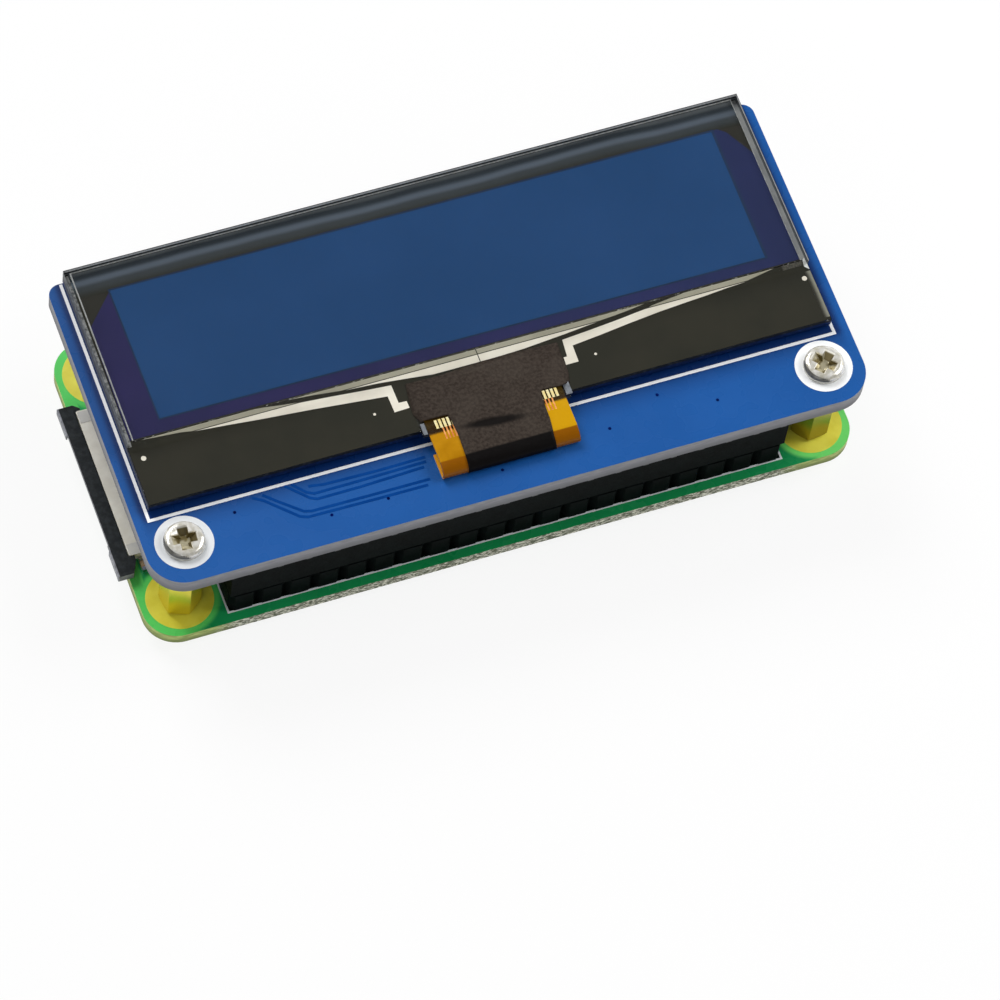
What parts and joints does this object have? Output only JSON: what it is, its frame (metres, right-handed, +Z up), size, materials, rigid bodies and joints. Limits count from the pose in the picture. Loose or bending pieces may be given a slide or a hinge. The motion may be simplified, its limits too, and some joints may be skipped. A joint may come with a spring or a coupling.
{
  "type": "display module",
  "caption": "Wide glass display panel on a circuit board, bolted with hex spacers and a pin header over a small single-board computer.",
  "frame": {"origin": "midway between the two free rear screw holes, on the host board's underside", "axes": "+X along the long edge, to the right as seen from the pin header; +Y from the pin header to the rear sockets; +Z up, from the host board to the display"},
  "size_m": [0.0661, 0.0312, 0.0151],
  "materials": {
    "green_board": "gloss",
    "blue_board": "gloss",
    "clear_glass": "polished",
    "dark_glass": "polished",
    "film": "gloss",
    "clear_film": "gloss",
    "amber_film": "gloss",
    "dark_tape": "satin",
    "brass": "satin",
    "nickel": "satin",
    "tin": "satin",
    "gold_pin": "gloss",
    "black_plastic": "satin",
    "cream_plastic": "satin",
    "chip_black": "matte",
    "coil_grey": "matte",
    "tan_ceramic": "satin",
    "silicon": "polished",
    "lamp_lens": "gloss",
    "white_tape": "matte"
  },
  "bodies": {
    "stack": {"host_board": "green_board", "main_chip": "chip_black", "radio_chip": "chip_black", "power_chip": "chip_black", "clock_crystal": "tin", "status_light": "lamp_lens", "host_capacitors": "tan_ceramic", "power_socket": "tin", "power_tongue": "black_plastic", "data_socket": "tin", "data_tongue": "black_plastic", "video_socket": "tin", "video_tongue": "black_plastic", "card_cover": "tin", "card_frame": "black_plastic", "camera_socket": "cream_plastic", "camera_contacts": "tin", "camera_tab_front": "tin", "camera_tab_rear": "tin", "pin_header_base": "black_plastic", "header_pins": "gold_pin", "socket_header": "black_plastic", "socket_contacts": "gold_pin", "display_board": "blue_board", "regulator_chip": "chip_black", "coil": "coil_grey", "display_capacitors": "tan_ceramic", "panel_adhesive": "white_tape", "back_glass": "dark_glass", "front_glass": "clear_glass", "polariser": "film", "bond_film": "clear_film", "flex_tail": "amber_film", "driver_chip": "silicon", "cover_tape": "dark_tape", "hex_spacer_left": "brass", "upper_screw_left": "nickel", "lower_screw_left": "nickel", "hex_spacer_right": "brass", "upper_screw_right": "nickel", "lower_screw_right": "nickel"},
    "latch": {"camera_latch": "black_plastic"}
  },
  "joints": [
    {"name": "latch_slide", "type": "slide", "parent": "stack", "child": "latch", "axis": [-1, 0, 0], "range_m": [0, 0.001]}
  ]
}
